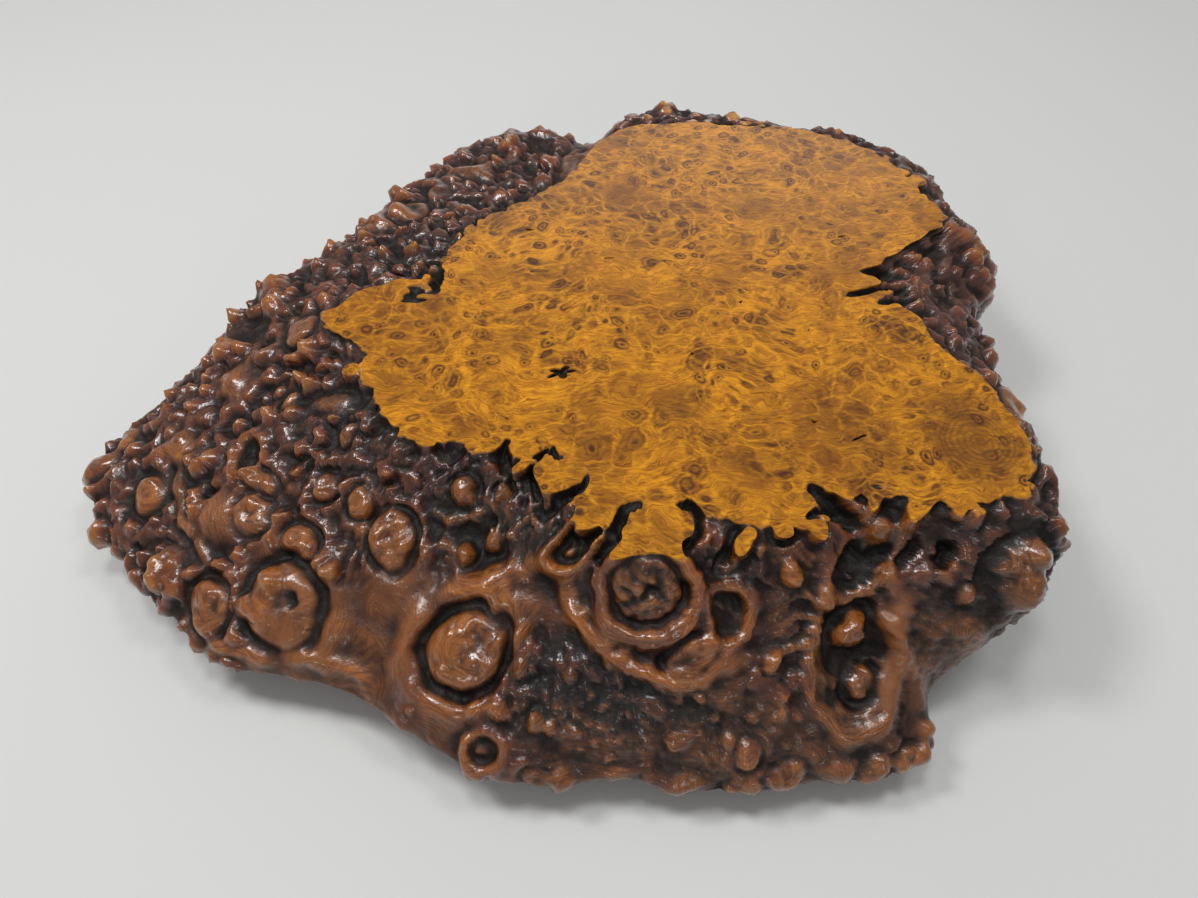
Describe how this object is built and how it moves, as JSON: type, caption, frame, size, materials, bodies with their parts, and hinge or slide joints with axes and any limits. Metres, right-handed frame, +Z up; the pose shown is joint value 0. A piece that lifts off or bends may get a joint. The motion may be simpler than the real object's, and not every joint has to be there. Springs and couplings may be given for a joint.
{
  "type": "burl wood slab",
  "caption": "Flat-topped burl wood slab with a polished sawn top, a flank of bud knobs, eyes and ridges, and an overhanging rim on a smaller sawn foot, used as a display stand.",
  "frame": {"origin": "middle of the object's box, on the sawn foot's face", "axes": "+Z up, out of the polished top; -Y towards the side with the large eyes; +X to the right seen from there"},
  "size_m": [0.4743, 0.4104, 0.092],
  "materials": {
    "burl_wood": "clear semi-gloss lacquer on a sawn and sanded top, dark wiped lacquer on the natural bud side"
  },
  "bodies": {
    "root": {"burl_slab": "burl_wood"}
  },
  "joints": []
}
